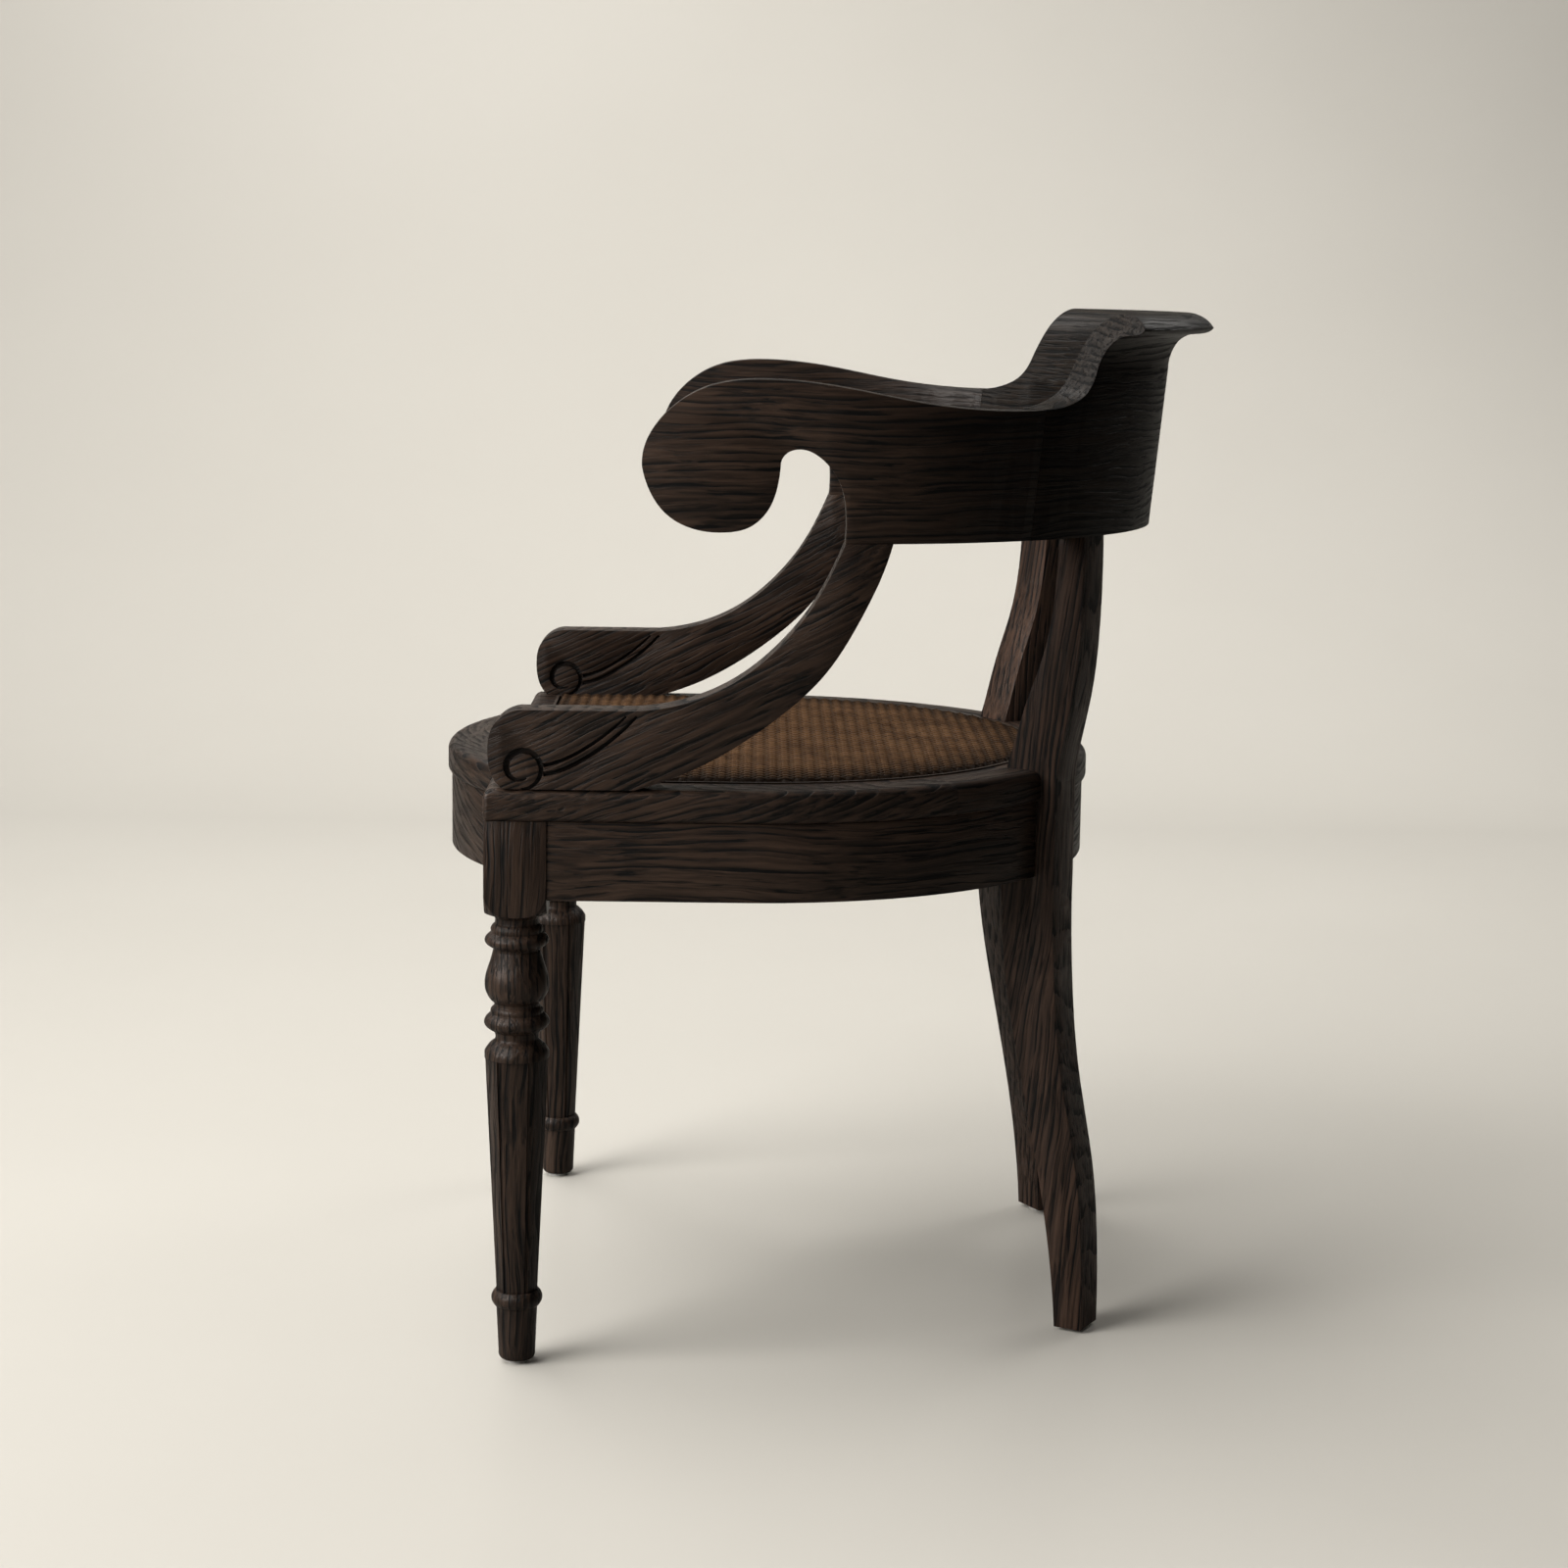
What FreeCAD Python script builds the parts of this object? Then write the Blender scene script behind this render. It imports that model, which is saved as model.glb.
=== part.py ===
import FreeCAD, Part
import os
from math import cos, radians, sin, sqrt
from FreeCAD import Vector

os.makedirs("parts", exist_ok=True)

# Axes: +Z is up, the chair faces -Y, and left and right are the sitter's, so left is +X.
# Sizes in mm. Heights are stacked on each other, from the floor to the crest
GLIDE_H = 3.0
GLIDE_R = 9.0
SEAT_H = 461.5
RIM_T = 25.0
APRON_H = 61.5
ARM_RISE = 189.5
ARM_H = 100.0
ARM_CROWN = 22.2
CREST_RISE = 73.0

RIM_TOP = SEAT_H
RIM_Z = RIM_TOP - RIM_T
APRON_Z = RIM_Z - APRON_H
ARM_Z = RIM_TOP + ARM_RISE
ARM_END_TOP = ARM_Z + ARM_H
CREST_Z = ARM_END_TOP + CREST_RISE

# Seat in plan: straight sides, a half circle behind and a bow in front between two square corners
SEAT_HALF = 286.5
SEAT_Y = -64.0
SIDE_L = 201.0
EAR_W = 120.8
BOW_PROUD = 51.9
RIM_OVERHANG = 3.0
APRON_T = 24.0
BOW_BLEND = 14.0
RIM_EDGE_TOP = 8.0
RIM_EDGE_LOW = 4.0

EAR_Y = SEAT_Y - SIDE_L
BOW_HALF = SEAT_HALF - EAR_W
BOW_R = (BOW_HALF ** 2 + BOW_PROUD ** 2) / (2 * BOW_PROUD)
BOW_Y = EAR_Y - BOW_PROUD + BOW_R
APRON_IN = SEAT_HALF - RIM_OVERHANG - APRON_T
APRON_MID = SEAT_HALF - RIM_OVERHANG - APRON_T / 2
APRON_FRONT_IN = EAR_Y + RIM_OVERHANG + APRON_T

# Cane, held by a reed in a groove of the rim
RIM_W = 40.5
EAR_RIM_W = 23.5
GROOVE_W = 5.5
GROOVE_D = 7.0
LEDGE_W = 8.5
CANE_T = 3.0
REED_PROUD = 1.2
SKIRT_RISE = 1.0

# Horseshoe of arms and crest: a wall of one thickness, raked back as it rises
ARM_INSET = 2.5
HORSE_BACK = 49.0
WALL_T = 30.0
RAKE = 10.0 / 107.0
ARM_JOINT = 36.0

HORSE_R = SEAT_HALF - ARM_INSET
HORSE_Y = SEAT_Y + HORSE_BACK

# Front legs
LEG_SIDE_INSET = 2.0
LEG_FRONT_INSET = 0.5
BLOCK = 48.0
BLOCK_DROP = 14.0
RINGS_H = 114.0
FOOT_H = 54.0
REEDS = 6
REED_GROOVE = 0.1
TAPER_R_LOW = 16.7
TAPER_R_TOP = 25.8
PIN_R = 9.0
PIN_H = 12.0

LEG_X = SEAT_HALF - LEG_SIDE_INSET - BLOCK / 2
LEG_Y = EAR_Y + LEG_FRONT_INSET + BLOCK / 2
LEG_INNER = LEG_X - BLOCK / 2
LEG_BACK = LEG_Y + BLOCK / 2
BLOCK_Z = APRON_Z - BLOCK_DROP
TAPER_TOP = BLOCK_Z - RINGS_H
TAPER_Z = GLIDE_H + FOOT_H

# Rear legs: each stands in an upright plane, turned from +X and a little off the centre of the seat
REAR_TURN = 61.2
REAR_SHIFT = 10.6
REAR_T = 39.5
REAR_T_FOOT = 33.5
REAR_DEPTH = 43.7
REAR_PROUD = 11.6
REAR_SWEEP = 55.0
REAR_FOOT = 23.5
STILE_D = 21.7
KNEE_DROP = 3.0
NOTCH_RISE = 20.0

REAR_ALONG = Vector(cos(radians(REAR_TURN)), sin(radians(REAR_TURN)), 0)
REAR_ACROSS = Vector(REAR_ALONG.y, -REAR_ALONG.x, 0)
REAR_FRONT = -REAR_SWEEP
REAR_BACK = REAR_DEPTH - REAR_SWEEP
REAR_REACH = SEAT_HALF + REAR_PROUD - REAR_BACK
REAR_KNEE = APRON_Z - KNEE_DROP

# Arm supports and arms, seen from the side
SUPPORT_INSET = 3.8
SUPPORT_FOOT_INSET = 11.7
SUPPORT_FOOT_L = 99.5
SCROLL_H = 61.0
SCROLL_L = 113.4
SCROLL_ROUND = 24.4
SUPPORT_PROUD = 1.0
EYE_BACK = 27.2
EYE_RISE = 15.9
CARVE_D = 2.8
UPPER_CHANNEL = 2.9
LOWER_CHANNEL = 3.6
CHANNEL_INSET = 4.0
POST_BACK = 23.1
POST_W = 36.2
THROAT_W = 49.3
ARM_REACH = 130.4
CROWN_REACH = 35.7
SCROLL_LOW_REACH = 69.0
SCROLL_CLEAR = 7.6

SUPPORT_FRONT = EAR_Y + SUPPORT_INSET
SUPPORT_FOOT = SUPPORT_FRONT + SUPPORT_FOOT_INSET
SUPPORT_FOOT_BACK = SUPPORT_FOOT + SUPPORT_FOOT_L
SUPPORT_X = HORSE_R + SUPPORT_PROUD
SUPPORT_T = WALL_T + 2 * SUPPORT_PROUD
POST_FRONT = HORSE_Y + POST_BACK

# Crest rail
LIP_OUT = 33.0
LIP_CROWN = 12.0
LIP_DROP = 12.0
LIP_NECK = 46.0
COVE_RISE = 7.0
OGEE_TURN = 47.0
OGEE_BEFORE = 75.0
OGEE_AFTER = 11.0

# Joints
GAP = 0.3
OVERCUT = 1.0
TENON_T = 9.0
TENON_W = 21.0
TENON_L = 20.0
FRONT_TENON_RISE = 8.0
SIDE_TENON_RISE = 33.0
REAR_TENON_L = 14.0
REAR_TENON_INSET = 10.0
CREST_TENON_T = 10.0
CREST_TENON_W = 22.0
CREST_TENON_L = 28.0
ARM_TENON_T = 12.0
ARM_TENON_W = 22.0
ARM_TENON_L = 22.0
RIM_JOINT = 35.0
RIM_JOINT_IN = 46.5
DOWEL_R = 4.0
RIM_DOWEL_L = 36.0
DOWEL_INSETS = (14.5, 30.5)
EAR_DOWEL_INSETS = (10.0, 29.0)
ARM_DOWEL_L = 40.0
SUPPORT_DOWEL_R = 5.0
SUPPORT_DOWEL_L = 44.0
SUPPORT_DOWEL_SUNK = 20.5
SUPPORT_DOWEL_IN = 27.5
SUPPORT_DOWEL_BACK_IN = 15.0

# Corner blocks and screws
CORNER_RISE = 12.0
CORNER_L = 50.0
REAR_CORNER_D = 24.0
REAR_CORNER_OUT = 22.0
REAR_CORNER_IN = 12.0
SCREW_R = 2.2
SCREW_HEAD_R = 4.5
SCREW_HEAD_H = 3.0
SCREW_L = 35.0
SCREW_BITE = 16.5
SCREW_RISE = 35.0
SCREW_IN = 25.5
REAR_SCREW_L = 27.0
REAR_SCREW_BITE = 9.0
RIM_SCREW_L = 56.0
RIM_SCREW_BITE = 13.5
RIM_SCREW_IN = 13.5
COUNTERBORE = 40.0
FAR = 600.0


def line_or_curve(points):
    if len(points) == 2:
        return Part.makeLine(points[0], points[1])
    curve = Part.BSplineCurve()
    curve.interpolate(points)
    return curve.toShape()


def face(runs, place):
    """A face inside runs of points that follow each other; two points make a line, more a smooth curve."""
    edges = [line_or_curve([place(*point) for point in run]) for run in runs]
    return Part.Face(Part.Wire(edges))


def between(start, end, shares=()):
    """Points from start to end. A share says how far across and how far up each one in between lies."""
    run = [start]
    for across, up in shares:
        run.append((start[0] + (end[0] - start[0]) * across, start[1] + (end[1] - start[1]) * up))
    return run + [end]


def closed(runs):
    """The runs with straight lines where one ends short of the next."""
    whole = []
    for run, after in zip(runs, runs[1:] + runs[:1]):
        whole.append(run)
        if run[-1] != after[0]:
            whole.append([run[-1], after[0]])
    return whole


def side_view(x):
    return lambda y, z: Vector(x, y, z)


def section(radius, z):
    return Vector(radius, 0, z)


def rear_place(s, z, d=0.0):
    """A point by its way back along the leg's plane from the foot's front, its height and its way into the leg."""
    out = REAR_ALONG * (REAR_REACH + s) + REAR_ACROSS * (REAR_SHIFT + REAR_T / 2 - d)
    return Vector(out.x, SEAT_Y + out.y, z)


def rear_reach(centre_y, radius):
    """Where the leg's middle plane crosses a circle about a centre on the chair's middle line."""
    start = Vector(0, SEAT_Y - centre_y, 0) + REAR_ACROSS * REAR_SHIFT
    along = start.dot(REAR_ALONG)
    beside = start.dot(REAR_ACROSS)
    return sqrt(radius ** 2 - beside ** 2) - along - REAR_REACH


def box(x0, x1, y0, y1, z0, z1):
    return Part.makeBox(x1 - x0, y1 - y0, z1 - z0, Vector(x0, y0, z0))


def rear_box(s0, s1, d0, d1, z0, z1):
    corners = [rear_place(s0, z0, d0), rear_place(s1, z0, d0), rear_place(s1, z0, d1), rear_place(s0, z0, d1)]
    base = Part.Face(Part.makePolygon(corners + corners[:1]))
    return base.extrude(Vector(0, 0, z1 - z0))


def pin(radius, length, middle, direction):
    start = middle - direction * (length / 2)
    return Part.makeCylinder(radius, length, start, direction)


def rod(radius, start, end):
    return Part.makeCylinder(radius, (end - start).Length, start, end - start)


def slab(plan, z0, z1):
    low = plan.copy()
    low.translate(Vector(0, 0, z0))
    return low.extrude(Vector(0, 0, z1 - z0))


def wedge(points, z0, z1):
    corners = [Vector(x, y, 0) for x, y in points]
    return slab(Part.Face(Part.makePolygon(corners + corners[:1])), z0, z1)


def arc(start, middle, end):
    return Part.Arc(start, middle, end).toShape()


def mirrored(shape):
    return shape.mirror(Vector(0, 0, 0), Vector(1, 0, 0))


def both_sides(shape):
    return [shape, mirrored(shape)]


def fuse_all(shapes):
    return shapes[0].fuse(shapes[1:]).removeSplitter() if len(shapes) > 1 else shapes[0]


def edges_where(shape, wanted):
    return [edge for edge in shape.Edges if wanted(edge)]


def middle_of(edge):
    return edge.valueAt((edge.FirstParameter + edge.LastParameter) / 2)


def is_upright(edge):
    box_of = edge.BoundBox
    return box_of.XLength < 0.01 and box_of.YLength < 0.01


def save(name, shape):
    shape.exportStep("parts/" + name + ".step")


def save_pair(name, shape):
    save(name + "_left", shape)
    save(name + "_right", mirrored(shape))


# Seat frame in plan

def seat_plan(half, ear_y, bow_r):
    ear_x = sqrt(bow_r ** 2 - (ear_y - BOW_Y) ** 2)
    corner = Vector(half, ear_y, 0)
    side = Vector(half, SEAT_Y, 0)
    back = Vector(0, SEAT_Y + half, 0)
    side_far = Vector(-half, SEAT_Y, 0)
    corner_far = Vector(-half, ear_y, 0)
    bow_far = Vector(-ear_x, ear_y, 0)
    nose = Vector(0, BOW_Y - bow_r, 0)
    bow = Vector(ear_x, ear_y, 0)
    return Part.Face(Part.Wire([
        Part.makeLine(corner, side),
        arc(side, back, side_far),
        Part.makeLine(side_far, corner_far),
        Part.makeLine(corner_far, bow_far),
        arc(bow_far, nose, bow),
        Part.makeLine(bow, corner),
    ]))


def inset_plan(inset):
    """The rim's outline, moved inwards all round."""
    return seat_plan(SEAT_HALF - inset, EAR_Y + inset, BOW_R - inset)


def cane_plan(inset):
    """The outer edge of the groove for the cane, moved inwards all round."""
    return seat_plan(SEAT_HALF - RIM_W - inset, EAR_Y + EAR_RIM_W + inset, BOW_R - RIM_W - inset)


def blended(solid, plan_bow_r, ear_y):
    """Rounds the two hollow corners where the bow meets the square corners."""
    ear_x = sqrt(plan_bow_r ** 2 - (ear_y - BOW_Y) ** 2)
    hollow = edges_where(solid, lambda e: is_upright(e) and abs(abs(middle_of(e).x) - ear_x) < 0.5)
    return solid.makeFillet(BOW_BLEND, hollow)


def solid_plan(inset, z0, z1):
    return blended(slab(inset_plan(inset), z0, z1), BOW_R - inset, EAR_Y + inset)


def rim_blank():
    outer = solid_plan(0, RIM_Z, RIM_TOP)
    corners = edges_where(outer, lambda e: is_upright(e) and abs(abs(middle_of(e).x) - SEAT_HALF) < 0.5
                          and middle_of(e).y < EAR_Y + 0.5)
    outer = outer.makeFillet(RIM_EDGE_LOW, corners)
    outer = outer.makeFillet(RIM_EDGE_TOP, edges_where(outer, lambda e: abs(middle_of(e).z - RIM_TOP) < 0.01))
    outer = outer.makeFillet(RIM_EDGE_LOW, edges_where(outer, lambda e: abs(middle_of(e).z - RIM_Z) < 0.01))
    opening = slab(cane_plan(GROOVE_W + LEDGE_W), RIM_Z - OVERCUT, RIM_TOP + OVERCUT)
    groove = slab(cane_plan(0).cut(cane_plan(GROOVE_W)), RIM_TOP - GROOVE_D, RIM_TOP + OVERCUT)
    return outer.cut([opening, groove])


def rear_direction(angle):
    return Vector(cos(radians(angle)), sin(radians(angle)), 0)


def rim_zones():
    """Blocks of space that part the rim at its joints: the bow, one side with its corner, and the back."""
    out = rear_direction(RIM_JOINT) * FAR
    ear_joint = LEG_INNER - RIM_JOINT_IN
    low = RIM_Z - OVERCUT
    high = RIM_TOP + OVERCUT
    front = box(-ear_joint, ear_joint, -FAR, SEAT_Y, low, high)
    joint = (out.x, SEAT_Y + out.y)
    side = wedge([(0, SEAT_Y), joint, (FAR, -FAR), (ear_joint, -FAR), (ear_joint, SEAT_Y)], low, high)
    rear = wedge([(0, SEAT_Y), joint, (0, FAR + SEAT_Y), (-joint[0], joint[1])], low, high)
    return front, side, rear


def dowel_places():
    """Middle and direction of each rim dowel on the left."""
    height = RIM_Z + (RIM_T - GROOVE_D) / 2
    out = rear_direction(RIM_JOINT)
    along = rear_direction(RIM_JOINT + 90)
    rear = [(Vector(0, SEAT_Y, height) + out * (SEAT_HALF - inset), along) for inset in DOWEL_INSETS]
    ear = [(Vector(LEG_INNER - RIM_JOINT_IN, EAR_Y + inset, height), Vector(1, 0, 0))
           for inset in EAR_DOWEL_INSETS]
    return rear + ear


def rim_pins(grow):
    pins = [pin(DOWEL_R + grow, RIM_DOWEL_L + 2 * grow, middle, along) for middle, along in dowel_places()]
    return [copy for one in pins for copy in both_sides(one)]


def support_pins(grow):
    pins = []
    for y in (SUPPORT_FOOT + SUPPORT_DOWEL_IN, SUPPORT_FOOT_BACK - SUPPORT_DOWEL_BACK_IN):
        low = Vector(SUPPORT_X - SUPPORT_T / 2, y, RIM_TOP - SUPPORT_DOWEL_SUNK - grow)
        pins.append(rod(SUPPORT_DOWEL_R + grow, low, low + Vector(0, 0, SUPPORT_DOWEL_L + 2 * grow)))
    return [copy for one in pins for copy in both_sides(one)]


def leg_pin(grow):
    low = Vector(LEG_X, LEG_Y, RIM_Z - OVERCUT)
    return rod(PIN_R + grow, low, Vector(LEG_X, LEG_Y, RIM_Z + PIN_H + grow))


# Screws: start of the head, tip of the thread

def screw_at(place, along, length, bite):
    """The two ends of a screw that crosses a joint's face at a place and bites into the far piece."""
    return place - along * (length - bite), place + along * bite


def screw(head, tip):
    along = (tip - head).normalize()
    return rod(SCREW_HEAD_R, head, head + along * SCREW_HEAD_H).fuse(rod(SCREW_R, head, tip))


def screw_hole(head, tip):
    along = (tip - head).normalize()
    mouth = head - along * COUNTERBORE
    seat = head + along * (SCREW_HEAD_H + GAP)
    return rod(SCREW_HEAD_R + GAP, mouth, seat).fuse(rod(SCREW_R + GAP, head, tip + along * GAP))


BLOCK_SCREWS = [
    screw_at(Vector(APRON_IN, LEG_BACK + SCREW_IN, APRON_Z + SCREW_RISE), Vector(1, 0, 0), SCREW_L, SCREW_BITE),
    screw_at(Vector(LEG_INNER - SCREW_IN, APRON_FRONT_IN, APRON_Z + SCREW_RISE), Vector(0, -1, 0),
             SCREW_L, SCREW_BITE),
    screw_at(rear_place(REAR_FRONT, APRON_Z + 0.40 * APRON_H, 0.35 * REAR_T), REAR_ALONG,
             REAR_SCREW_L, REAR_SCREW_BITE),
    screw_at(rear_place(REAR_FRONT, APRON_Z + 0.76 * APRON_H, 0.66 * REAR_T), REAR_ALONG,
             REAR_SCREW_L, REAR_SCREW_BITE),
]
RIM_SCREWS = [
    screw_at(Vector(APRON_IN - RIM_SCREW_IN, LEG_BACK + RIM_SCREW_IN, RIM_Z), Vector(0, 0, 1),
             RIM_SCREW_L, RIM_SCREW_BITE),
    screw_at(rear_place(REAR_FRONT - REAR_CORNER_D / 2, RIM_Z, 0.05 * REAR_T), Vector(0, 0, 1),
             RIM_SCREW_L, RIM_SCREW_BITE),
]


def screws(places):
    return Part.makeCompound([copy for head, tip in places for copy in both_sides(screw(head, tip))])


def screw_holes(places):
    return [copy for head, tip in places for copy in both_sides(screw_hole(head, tip))]


# Front legs

def taper_ring(radius, z):
    """One section of the six-sided taper: flats, with a round groove down each arris."""
    groove_half = REED_GROOVE * radius
    groove_deep = 1.2 * groove_half
    edges = []
    ends = []
    for k in range(REEDS):
        turn = 180.0 / REEDS + 360.0 / REEDS * k
        corner = rear_direction(turn) * radius
        before = rear_direction(turn - 90 - 180.0 / REEDS)
        after = rear_direction(turn + 90 + 180.0 / REEDS)
        ends.append((corner + before * groove_half, rear_direction(turn) * (radius - groove_deep),
                     corner + after * groove_half))
    for k in range(REEDS):
        start, bottom, end = ends[k]
        edges.append(arc(start, bottom, end))
        edges.append(Part.makeLine(end, ends[(k + 1) % REEDS][0]))
    ring = Part.Wire(edges)
    ring.translate(Vector(0, 0, z))
    return ring


def turned(runs):
    return face(closed(runs), section).revolve(Vector(0, 0, 0), Vector(0, 0, 1), 360)


def turning(low, high, radius, shares):
    """A run of a turned profile, as shares of a radius and of the height from low to high."""
    return [(radius * across, low + (high - low) * up) for across, up in shares]


def turned_rings():
    """Ball, rings and vase between the taper and the square block."""
    half = BLOCK / 2
    runs = [
        [(1.05, 0), (1.05, 0.044)],
        [(1.05, 0.044), (0.967, 0.072), (0.854, 0.1), (0.725, 0.121), (0.692, 0.145)],
        [(0.692, 0.145), (0.717, 0.174)],
        [(0.767, 0.184), (1.062, 0.25), (0.892, 0.304)],
        [(0.842, 0.309), (0.854, 0.33), (0.767, 0.354)],
        [(0.733, 0.361), (0.733, 0.379)],
        [(0.767, 0.386), (0.958, 0.437), (1.042, 0.505), (0.954, 0.614), (0.775, 0.742)],
        [(0.75, 0.746), (0.75, 0.758)],
        [(0.808, 0.765), (1.038, 0.816), (0.875, 0.865)],
        [(0.825, 0.87), (0.846, 0.894), (0.758, 0.925)],
        [(0.708, 0.932), (0.7, 0.967)],
        [(0.7, 0.967), (0.796, 0.99), (1.0, 1.009)],
        [(0, 1.009), (0, 0)],
    ]
    return turned([turning(TAPER_TOP, BLOCK_Z, half, run) for run in runs])


def turned_foot():
    """A plain foot with a collar above it."""
    runs = [
        [(0, 0), (0.743, 0)],
        [(0.743, 0), (0.832, 0.03), (0.862, 0.093)],
        [(0.862, 0.093), (0.964, 0.796)],
        [(1.042, 0.804), (1.204, 0.919), (1.03, 1.033)],
        [(0, 1.033), (0, 0)],
    ]
    return turned([turning(GLIDE_H, TAPER_Z, TAPER_R_LOW, run) for run in runs])


def square_block():
    """The block above, its lower corners rounded on the lathe."""
    half = BLOCK / 2
    square = box(-half, half, -half, half, BLOCK_Z, RIM_Z)
    curve = [(0.938, 0), (1.142, 0.046), (1.267, 0.133), (1.458, 0.396)]
    shoulders = turned([
        [(0, BLOCK_Z), (0.938 * half, BLOCK_Z)],
        turning(BLOCK_Z, BLOCK_Z + BLOCK, half, curve),
        [(1.458 * half, RIM_Z), (0, RIM_Z)],
    ])
    return square.common(shoulders)


def front_leg():
    taper = Part.makeLoft([taper_ring(TAPER_R_LOW, TAPER_Z), taper_ring(TAPER_R_TOP, TAPER_TOP)], True, True)
    stub = Part.makeCylinder(PIN_R, PIN_H + OVERCUT, Vector(0, 0, RIM_Z - OVERCUT))
    leg = fuse_all([turned_foot(), taper, turned_rings(), square_block(), stub])
    leg.translate(Vector(LEG_X, LEG_Y, 0))
    return leg.cut(front_tenon(GAP).fuse(side_tenon(GAP)))


def front_tenon(grow):
    middle = APRON_FRONT_IN - APRON_T / 2
    low = APRON_Z + FRONT_TENON_RISE
    return box(LEG_INNER - OVERCUT, LEG_INNER + TENON_L + grow,
               middle - TENON_T / 2 - grow, middle + TENON_T / 2 + grow,
               low - grow, low + TENON_W + grow)


def side_tenon(grow):
    low = APRON_Z + SIDE_TENON_RISE
    return box(APRON_MID - TENON_T / 2 - grow, APRON_MID + TENON_T / 2 + grow,
               LEG_BACK - TENON_L - grow, LEG_BACK + OVERCUT,
               low - grow, low + TENON_W + grow)


# Rear legs

def rear_tenon(grow, d0, d1):
    middle = rear_reach(SEAT_Y, APRON_MID)
    return rear_box(middle - TENON_T / 2 - grow, middle + TENON_T / 2 + grow, d0, d1,
                    APRON_Z + REAR_TENON_INSET - grow, RIM_Z - REAR_TENON_INSET + grow)


def crest_tenon(grow):
    """The stile's tenon, set back a little because the wall above leans back."""
    middle = STILE_FRONT + STILE_D / 2 + RAKE * CREST_TENON_L / 2
    inset = (REAR_T - CREST_TENON_W) / 2
    return rear_box(middle - CREST_TENON_T / 2 - grow, middle + CREST_TENON_T / 2 + grow,
                    inset - grow, REAR_T - inset + grow, ARM_Z - OVERCUT, ARM_Z + CREST_TENON_L + grow)


STILE_FRONT = rear_reach(HORSE_Y, HORSE_R - WALL_T)


def rear_leg():
    foot_front = between((0, GLIDE_H), (REAR_FRONT, REAR_KNEE),
                         [(0.113, 0.163), (0.304, 0.328), (0.669, 0.577), (0.927, 0.778)])
    stile_front = between((REAR_FRONT, RIM_TOP), (STILE_FRONT, ARM_Z),
                          [(0.125, 0.087), (0.374, 0.272), (0.728, 0.488), (0.96, 0.778)])
    stile_back = between((STILE_FRONT + STILE_D, ARM_Z), (REAR_BACK, RIM_TOP - NOTCH_RISE),
                         [(0.033, 0.344), (0.387, 0.644), (0.796, 0.816)])
    foot_back = between((REAR_BACK, REAR_KNEE), (REAR_FOOT, GLIDE_H),
                        [(0.075, 0.217), (0.33, 0.434), (0.807, 0.669), (0.925, 0.78)])
    side = face(closed([foot_front, stile_front, stile_back, foot_back]), rear_place)
    leg = side.extrude(REAR_ACROSS * -REAR_T)
    start = -2 * REAR_SWEEP
    inner = [rear_place(start, 0, REAR_T_FOOT), rear_place(start, REAR_KNEE, REAR_T),
             rear_place(start, REAR_KNEE, 2 * REAR_T), rear_place(start, 0, 2 * REAR_T)]
    shaving = Part.Face(Part.makePolygon(inner + inner[:1])).extrude(REAR_ALONG * 4 * REAR_SWEEP)
    leg = leg.cut(shaving).fuse(crest_tenon(0)).removeSplitter()
    mortises = [rear_tenon(GAP, -OVERCUT, REAR_TENON_L + GAP),
                rear_tenon(GAP, REAR_T - REAR_TENON_L - GAP, REAR_T + OVERCUT)]
    return leg.cut(mortises + screw_holes(BLOCK_SCREWS))


def rear_gap(z0, z1):
    """The room that a rear leg takes in the seat frame."""
    return rear_box(REAR_FRONT, REAR_FRONT + 2 * REAR_DEPTH, 0, REAR_T, z0, z1)


# Aprons

def aprons():
    low = APRON_Z - OVERCUT
    high = RIM_Z + OVERCUT
    outer = solid_plan(RIM_OVERHANG, APRON_Z, RIM_Z)
    inner = solid_plan(RIM_OVERHANG + APRON_T, low, high)
    leg_room = box(LEG_INNER, FAR, -FAR, LEG_BACK, low, high)
    rooms = both_sides(leg_room) + both_sides(rear_gap(low, high))
    pieces = outer.cut(inner).cut(rooms).Solids
    front = min(pieces, key=lambda s: s.CenterOfMass.y)
    rear = max(pieces, key=lambda s: s.CenterOfMass.y)
    left = max(pieces, key=lambda s: s.CenterOfMass.x)
    holes = screw_holes(BLOCK_SCREWS)
    front = fuse_all([front] + both_sides(front_tenon(0))).cut(holes)
    left = fuse_all([left, side_tenon(0), rear_tenon(0, -OVERCUT, REAR_TENON_L)]).cut(holes)
    rear = fuse_all([rear] + both_sides(rear_tenon(0, REAR_T - REAR_TENON_L, REAR_T + OVERCUT)))
    return front, left, rear


def rims():
    notches = both_sides(rear_gap(RIM_Z - OVERCUT, RIM_TOP + OVERCUT))
    whole = rim_blank().cut(notches + both_sides(leg_pin(GAP)) + rim_pins(GAP) + support_pins(GAP)
                            + screw_holes(RIM_SCREWS))
    return [whole.common(zone) for zone in rim_zones()]


def cane():
    skirt_in = GROOVE_W - GAP
    skirt_out = GROOVE_W / 2 + GAP / 2
    sheet = slab(cane_plan(skirt_in), RIM_TOP, RIM_TOP + CANE_T)
    skirt = slab(cane_plan(skirt_out).cut(cane_plan(skirt_in)), RIM_TOP - GROOVE_D + SKIRT_RISE,
                 RIM_TOP + CANE_T)
    return sheet.fuse(skirt).removeSplitter()


def reed():
    ring = cane_plan(GAP).cut(cane_plan(GROOVE_W / 2 - GAP / 2))
    return slab(ring, RIM_TOP - GROOVE_D + SKIRT_RISE, RIM_TOP + REED_PROUD)


# Corner blocks

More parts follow.
